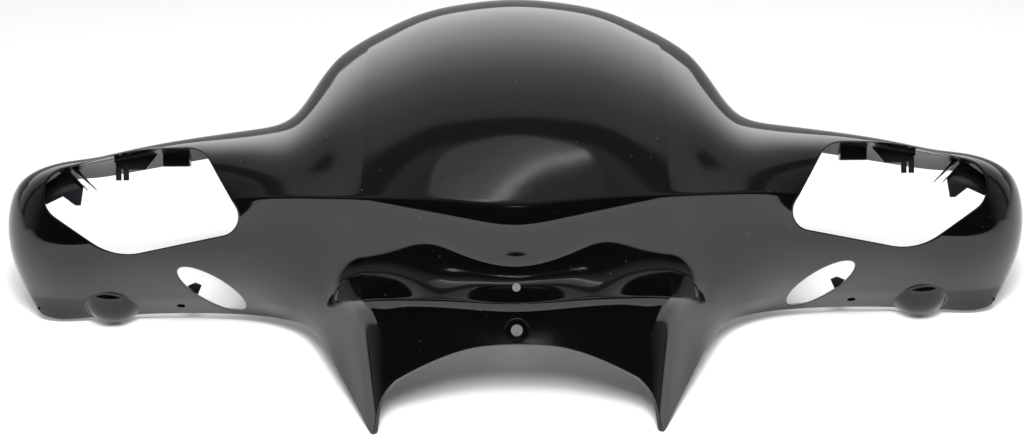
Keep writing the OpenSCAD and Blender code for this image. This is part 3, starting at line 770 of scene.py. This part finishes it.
def moulded(name, solids, ease=0.3):
    """One object from closed stacks of outlines, drawn on the right and mirrored to the left."""
    work = bmesh.new()
    for rings, both in solids:
        for side in ((1, -1) if both else (1,)):
            stack = [[work.verts.new(p) for p in lain(np.array(r, float) * [side, 1, 1])]
                     for r in rings]
            count = len(stack[0])
            for low, high in zip(stack, stack[1:]):
                for k in range(count):
                    n = (k + 1) % count
                    work.faces.new((low[k], low[n], high[n], high[k]))
            work.faces.new(stack[0])
            work.faces.new(stack[-1])
    bmesh.ops.recalc_face_normals(work, faces=work.faces)
    sharp = [e for e in work.edges if e.calc_face_angle(0) > math.radians(35)]
    bmesh.ops.bevel(work, geom=sharp, offset=ease * MM, segments=3, affect="EDGES", profile=0.5)
    mesh = bpy.data.meshes.new(name)
    work.to_mesh(mesh)
    work.free()
    mesh.shade_smooth()
    mesh.set_sharp_from_angle(angle=math.radians(40))
    piece = bpy.data.objects.new(name, mesh)
    bpy.context.scene.collection.objects.link(piece)
    print(name, len(mesh.polygons), "faces")
    return piece


def hung(x, y, w, t, foot_z, foot_shift=0.0, foot_rise=0.0):
    """A block whose root follows the top wall; its foot may stand off to one side."""
    corners = [(x - w / 2, y), (x + w / 2, y), (x + w / 2, y + t), (x - w / 2, y + t)]
    foot = [(cx + foot_shift, cy, foot_z + foot_rise * (cx - x)) for cx, cy in corners]
    root = [(cx, cy, wall_above(cx, cy) + ROOT) for cx, cy in corners]
    return [foot, root], True


def upright_plate(outline, y, t):
    return [[(x, y, z) for x, z in outline], [(x, y + t, z) for x, z in outline]], True


LATCH_X, LATCH_Y = 165, back_to(84)
latch = moulded("latch_blocks", [hung(LATCH_X, LATCH_Y, 13, 8,
                                      wall_above(LATCH_X, LATCH_Y) - 7)], 0.4)
PLATE_X, PLATE_Y, PLATE_W = 184.5, back_to(82), 24
plate_low = wall_above(PLATE_X, PLATE_Y) - 6
plate = moulded("gusset_plates", [upright_plate(
    [(PLATE_X - PLATE_W / 2, wall_above(PLATE_X - PLATE_W / 2, PLATE_Y) + ROOT),
     (PLATE_X - PLATE_W / 5, plate_low), (PLATE_X + PLATE_W / 4, plate_low),
     (PLATE_X + PLATE_W / 2, wall_above(PLATE_X + PLATE_W / 2, PLATE_Y) + ROOT)],
    PLATE_Y, RIB)])
TWIN_X, TWIN_D, TWIN_GAP = 191, 2.8, 0.9
twins = []
for side in (-1, 1):
    x, y = TWIN_X + side * (TWIN_D + TWIN_GAP) / 2, PLATE_Y + RIB / 2
    turns = np.linspace(0, 2 * math.pi, 24, endpoint=False)
    twins.append(([[(x + TWIN_D / 2 * math.cos(a), y + TWIN_D / 2 * math.sin(a), z)
                    for a in turns] for z in (plate_low - 5, plate_low + 3)], True))
pegs = moulded("twin_pegs", twins)
FIN_X, FIN_Y, FIN_LONG, FIN_LEAN = 216, back_to(84), 14.5, math.radians(47)
fin_foot = wall_above(FIN_X, FIN_Y) - FIN_LONG * math.cos(FIN_LEAN)
fins = moulded("twin_fins", [hung(FIN_X + 4.4 * k, FIN_Y, RIB / math.cos(FIN_LEAN), 5, fin_foot,
                                  -FIN_LONG * math.sin(FIN_LEAN), 1) for k in (0, 1)])
end_at = spline(INNER, 6, LAST_COLUMN - 1)
end_outer = float(end_at[0]) + ROOT
gusset = moulded("end_gussets", [upright_plate(
    [(219, wall_above(219, end_at[1]) + ROOT), (211, up_to(113.5)), (212.4, up_to(104.5)),
     (215, up_to(104.5)), (221, up_to(109)), (end_outer, float(end_at[2])),
     (end_outer - 2, wall_above(end_outer - 2, end_at[1]) + ROOT)],
    float(end_at[1]) - RIB / 2, RIB)])

# %% [markdown]
# ## Upright and arch pad
# A small upright stands on the wing's underside and shows through the cable hole, and the middle
# of the neck's arch is thickened by a pad, where the two halves of the cover meet.

# %% Upright and pad
def floor_below(x, y):
    """Height of the underside's inner face at a place inside the wing."""
    return float(seek(INNER, np.array([[x, y]], float), XY, (11.0, float(LAST_ROW)))[1][0, 2])


UPRIGHT_Y = back_to(88)
upright = moulded("uprights", [upright_plate(
    [(155.4, floor_below(155.4, UPRIGHT_Y) - ROOT), (155.4, up_to(60.6)), (153.7, up_to(64.7)),
     (156.8, up_to(66.1)), (161.4, up_to(64.1)), (161.4, floor_below(161.4, UPRIGHT_Y) - ROOT)],
    UPRIGHT_Y, RIB)])
arch = spline(OUTER, LAST_ROW, MID_COLUMN)
pad_box = [[(x, arch[1] + y, arch[2] + z) for x, z in ((-11.5, 0), (11.5, 0), (11.5, 2.6),
                                                         (-11.5, 2.6))] for y in (0.6, 7.2)]
pad = moulded("arch_pad", [(pad_box, False)], 0.5)

# %% [markdown]
# ## Gloss black ABS
# The cover is injection-moulded ABS, coloured black right through and moulded against a polished
# steel face, so its skin is a near mirror with a very faint waviness, like fine orange peel. What
# the eye gets is almost no colour, only sharp reflections. The back of the wall was moulded
# against a plain milled core and is satin. Both are the same plastic, with an IOR near 1.53.

# %% One helper for nodes, one for colours
def linear(code):
    """An sRGB hex colour as the linear values that shaders take."""
    parts = [int(code[k:k + 2], 16) / 255 for k in (1, 3, 5)]
    return [v / 12.92 if v <= 0.04045 else ((v + 0.055) / 1.055) ** 2.4 for v in parts] + [1.0]


def add(material, kind, settings=None, links=None):
    """Adds a node; settings name its properties or inputs, links join inputs to outputs."""
    node = material.node_tree.nodes.new(kind)

    def socket(key):
        """The visible input of that name or number; a mix node hides its other kinds."""
        if isinstance(key, int):
            return node.inputs[key]
        return next((i for i in node.inputs if i.name == key and i.enabled), None)

    for key, value in (settings or {}).items():
        if not isinstance(key, int) and hasattr(node, key):
            setattr(node, key, value)
        else:
            socket(key).default_value = value
    for key, source in (links or {}).items():
        material.node_tree.links.new(source, socket(key))
    return node


def new_material(name):
    material = bpy.data.materials.new(name)
    material.use_nodes = True
    material.node_tree.nodes.clear()
    return material


# %% Polished and satin black
def gloss_black_abs():
    m = new_material("moulded_gloss_black_ABS")
    where = add(m, "ShaderNodeTexCoord").outputs["Object"]
    # Flow waviness of the polished face: about 9 mm from crest to crest
    waves = add(m, "ShaderNodeTexNoise", {"Scale": 110.0, "Detail": 1.0}, {"Vector": where})
    lift = add(m, "ShaderNodeBump", {"Strength": 0.25, "Distance": 0.00001},
               {"Height": waves.outputs["Fac"]})
    # Handling haze: patches about 30 mm wide where the gloss is a little softer
    haze = add(m, "ShaderNodeTexNoise", {"Scale": 32.0, "Detail": 5.0, "Roughness": 0.6},
               {"Vector": where})
    rough = add(m, "ShaderNodeMapRange", {"From Min": 0.35, "From Max": 0.75, "To Min": 0.045,
                                          "To Max": 0.10}, {"Value": haze.outputs["Fac"]})
    # Settled dust: specks drawn 0.4 mm wide, coarser than real dust, so that they show
    specks = add(m, "ShaderNodeTexNoise", {"Scale": 900.0, "Detail": 0.0}, {"Vector": where})
    dust = add(m, "ShaderNodeMapRange", {"From Min": 0.87, "From Max": 0.92, "To Min": 0.0,
                                         "To Max": 0.25}, {"Value": specks.outputs["Fac"]})
    colour = add(m, "ShaderNodeMix", {"data_type": "RGBA", "A": linear("#040405"),
                                      "B": linear("#8d8f92")},
                 {"Factor": dust.outputs["Result"]})
    shader = add(m, "ShaderNodeBsdfPrincipled", {"IOR": 1.53},
                 {"Base Color": colour.outputs["Result"], "Roughness": rough.outputs["Result"],
                  "Normal": lift.outputs["Normal"]})
    add(m, "ShaderNodeOutputMaterial", {}, {"Surface": shader.outputs["BSDF"]})
    return m


def satin_black_abs():
    m = new_material("moulded_satin_black_ABS")
    where = add(m, "ShaderNodeTexCoord").outputs["Object"]
    # Milling marks of the core, faint lines about 2 mm apart
    marks = add(m, "ShaderNodeTexNoise", {"Scale": 420.0, "Detail": 2.0}, {"Vector": where})
    lift = add(m, "ShaderNodeBump", {"Strength": 0.3, "Distance": 0.00003},
               {"Height": marks.outputs["Fac"]})
    blotch = add(m, "ShaderNodeTexNoise", {"Scale": 40.0, "Detail": 3.0}, {"Vector": where})
    rough = add(m, "ShaderNodeMapRange", {"To Min": 0.22, "To Max": 0.36},
                {"Value": blotch.outputs["Fac"]})
    shader = add(m, "ShaderNodeBsdfPrincipled", {"IOR": 1.53, "Base Color": linear("#141517")},
                 {"Roughness": rough.outputs["Result"], "Normal": lift.outputs["Normal"]})
    add(m, "ShaderNodeOutputMaterial", {}, {"Surface": shader.outputs["BSDF"]})
    return m


gloss, satin = gloss_black_abs(), satin_black_abs()
print("materials:", gloss.name, satin.name)

# %% Finish each piece
shell_mesh.materials.append(gloss)
shell_mesh.materials.append(satin)
side_of = np.zeros(len(shell_mesh.polygons), np.int32)
side_of[inner_triangles:len(all_triangles)] = 1
shell_mesh.polygons.foreach_set("material_index", side_of)
for piece in (latch, plate, pegs, fins, gusset, upright, pad):
    piece.data.materials.append(satin if piece is not pad else gloss)
for piece in (shell, latch, plate, pegs, fins, gusset, upright, pad):
    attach(piece, "root")
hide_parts("handlebar_cover")
print("eight pieces stand for the one moulding")

# %% [markdown]
# ## Camera
# The photograph looks exactly along the mould's draw, from a little over a metre, with a hair of
# roll. The cover lies leaned back, so in the model's frame the same view looks down at the
# tilt's own angle.

# %% Camera along the draw
EYE = lain([(-1.7, -1140, 95.9)])[0]
ROLL = math.radians(0.55)
FOCAL_MM = 88.59
forward = Vector((0, math.cos(TILT), -math.sin(TILT)))
upward = Vector((0, math.sin(TILT), math.cos(TILT)))
sideways = forward.cross(upward)
turned_side = sideways * math.cos(ROLL) - upward * math.sin(ROLL)
turned_up = upward * math.cos(ROLL) + sideways * math.sin(ROLL)
lens = bpy.data.cameras.new("camera")
lens.lens = FOCAL_MM
lens.sensor_width = 36.0
lens.clip_start = 0.05
lens.clip_end = 50.0
camera = bpy.data.objects.new("camera", lens)
camera.matrix_world = Matrix((
    (turned_side[0], turned_up[0], -forward[0], EYE[0]),
    (turned_side[1], turned_up[1], -forward[1], EYE[1]),
    (turned_side[2], turned_up[2], -forward[2], EYE[2]),
    (0, 0, 0, 1)))
bpy.context.scene.collection.objects.link(camera)
bpy.context.scene.camera = camera
print("eye at", [round(float(v), 3) for v in EYE])

# %% [markdown]
# ## Floor
# The cover stands on a wide white sheet. Its front edge ends a little before the camera, as a
# table's does, because the black band under the brow is the dark room in front of that edge.

# %% White sheet
def sheet_of_paper():
    profile = [(-0.85, -0.04), (-0.8, -0.008), (-0.76, 0.0), (0.9, 0.0)]
    for a in np.linspace(0, math.pi / 2, 13)[1:]:
        profile.append((0.9 + 0.6 * math.sin(a), 0.6 * (1 - math.cos(a))))
    work = bmesh.new()
    rows = [[work.verts.new((x, y, z)) for x in (-2.6, 2.6)] for y, z in profile]
    for low, high in zip(rows, rows[1:]):
        work.faces.new((low[0], low[1], high[1], high[0]))
    mesh = bpy.data.meshes.new("paper_sheet")
    work.to_mesh(mesh)
    work.free()
    mesh.shade_smooth()
    paper_sheet = bpy.data.objects.new("paper_sheet", mesh)
    bpy.context.scene.collection.objects.link(paper_sheet)
    paper = new_material("matt_white_paper")
    where = add(paper, "ShaderNodeTexCoord").outputs["Object"]
    grain = add(paper, "ShaderNodeTexNoise", {"Scale": 900.0}, {"Vector": where})
    lift = add(paper, "ShaderNodeBump", {"Strength": 0.05, "Distance": 0.0001},
               {"Height": grain.outputs["Fac"]})
    shader = add(paper, "ShaderNodeBsdfPrincipled",
                 {"Base Color": linear("#c9c9cb"), "Roughness": 0.9},
                 {"Normal": lift.outputs["Normal"]})
    add(paper, "ShaderNodeOutputMaterial", {}, {"Surface": shader.outputs["BSDF"]})
    mesh.materials.append(paper)
    return paper_sheet


floor = sheet_of_paper()
print("floor", floor.name)

# %% [markdown]
# ## Studio light
# A gloss black shell shows its surroundings, so the room is designed for what it mirrors. Behind
# the cover the room is bright, which gives the dome its pale top. Right above hangs a large soft
# lamp in a dark shade, seen as the round patch over the brow. A world shader paints all this by
# direction, which costs nothing and leaves no edges. In front the room is dark. High up there, a
# wide key lamp gives the arch its soft shadow, and is kept out of the reflections, while a small
# lamp at the same place is the one that is mirrored as a crisp highlight.

# %% The room by direction
KEY_WATTS = 56.0
SPARK_WATTS = 5.0
LAMP_PLACE = (0.02, -0.94, 1.3)
CLOTH_REACH = (0.28, 0.135)
FOLD_SLANT = math.radians(-31)
ROOM_TOP = 3.4
# Brightness of the room from the far front (-1) over the zenith (0) to the back (1)
ROOM = [(-1.0, 0.0), (-0.35, 0.02), (-0.12, 0.25), (0.11, 0.35), (0.135, 0.12), (0.225, 0.12),
        (0.25, 0.50), (0.35, 0.62), (0.47, 0.95), (0.6, 1.7), (0.72, 2.5), (0.87, 3.2),
        (1.0, 3.4)]
# Brightness over the lamp's cloth, across its fold
FOLD = [(-0.15, 0.32), (-0.04, 0.42), (-0.022, 0.9), (-0.008, 3.0), (0.008, 3.2), (0.03, 1.5),
        (0.06, 1.15), (0.1, 1.0), (0.15, 0.8)]


def grey_ramp(world, source, table, span):
    """A ramp of greys over a span of the source, as shares of the brightest light."""
    ramp = add(world, "ShaderNodeValToRGB", {}, {"Fac": source})
    stops = ramp.color_ramp.elements
    while len(stops) > 1:
        stops.remove(stops[-1])
    for k, (at, level) in enumerate(table):
        place = (at - span[0]) / (span[1] - span[0])
        stop = stops[0] if k == 0 else stops.new(place)
        stop.position = place
        stop.color = (level / ROOM_TOP,) * 3 + (1.0,)
    return ramp


def studio_room():
    room = bpy.data.worlds.new("studio_room")
    room.use_nodes = True
    room.node_tree.nodes.clear()
    ray = add(room, "ShaderNodeTexCoord").outputs["Generated"]
    part = add(room, "ShaderNodeSeparateXYZ", {}, {"Vector": ray})
    depth = add(room, "ShaderNodeMapRange", {"From Min": -1.0, "From Max": 1.0},
                {"Value": part.outputs["Y"]})
    ramp = grey_ramp(room, depth.outputs["Result"], ROOM, (-1.0, 1.0))
    # The lamp's round front in the direction's own x and y, 0 at its middle and 1 at its rim
    squeeze = add(room, "ShaderNodeMapping",
                  {"Location": (-0.035, 0.0, 0.0),
                   "Scale": (1 / CLOTH_REACH[0], 1 / CLOTH_REACH[1], 0.0)},
                  {"Vector": ray})
    from_middle = add(room, "ShaderNodeVectorMath", {"operation": "LENGTH"},
                      {0: squeeze.outputs["Vector"]})
    front = add(room, "ShaderNodeMapRange", {"From Min": 1.03, "From Max": 0.97},
                {"Value": from_middle.outputs["Value"]})
    # A bright fold runs slantwise across the lamp's cloth, dull on its right and softer on its left
    slant = add(room, "ShaderNodeMapping",
                {"Location": (0.0, 0.045, 0.0), "Rotation": (0.0, 0.0, FOLD_SLANT)},
                {"Vector": ray})
    slant_part = add(room, "ShaderNodeSeparateXYZ", {}, {"Vector": slant.outputs["Vector"]})
    across_fold = add(room, "ShaderNodeMapRange", {"From Min": -0.15, "From Max": 0.15},
                      {"Value": slant_part.outputs["Y"]})
    fold = grey_ramp(room, across_fold.outputs["Result"], FOLD, (-0.15, 0.15))
    cloth = add(room, "ShaderNodeTexNoise", {"Scale": 110.0, "Detail": 2.0}, {"Vector": ray})
    weave = add(room, "ShaderNodeMapRange", {"To Min": 0.55, "To Max": 1.45},
                {"Value": cloth.outputs["Fac"]})
    glow_share = add(room, "ShaderNodeMath", {"operation": "MULTIPLY"},
                     {0: fold.outputs["Color"], 1: weave.outputs["Result"]})
    overhead = add(room, "ShaderNodeMath", {"operation": "GREATER_THAN", 1: 0.0},
                   {0: part.outputs["Z"]})
    lamp_mask = add(room, "ShaderNodeMath", {"operation": "MULTIPLY"},
                    {0: front.outputs["Result"], 1: overhead.outputs["Value"]})
    with_lamp = add(room, "ShaderNodeMix", {"data_type": "RGBA"},
                    {"Factor": lamp_mask.outputs["Value"], "A": ramp.outputs["Color"],
                     "B": glow_share.outputs["Value"]})
    back = add(room, "ShaderNodeBackground", {"Strength": ROOM_TOP},
               {"Color": with_lamp.outputs["Result"]})
    add(room, "ShaderNodeOutputWorld", {}, {"Surface": back.outputs["Background"]})
    return room


bpy.context.scene.world = studio_room()
bpy.context.scene.view_settings.view_transform = "Standard"


def lamp(name, size, watts, mirrored):
    """A round lamp high in front; only a small one should be mirrored as a crisp highlight."""
    light = bpy.data.lights.new(name, "AREA")
    light.shape = "DISK"
    light.size = size
    light.energy = watts
    holder = bpy.data.objects.new(name, light)
    holder.location = LAMP_PLACE
    holder.rotation_euler = (-Vector(holder.location)).to_track_quat("-Z", "Y").to_euler()
    holder.visible_glossy = mirrored
    bpy.context.scene.collection.objects.link(holder)
    return holder


key_lamp = lamp("key_lamp", 0.8, KEY_WATTS, False)
spark_lamp = lamp("spark_lamp", 0.12, SPARK_WATTS, True)
print("key lamp at", [round(v, 2) for v in key_lamp.location])
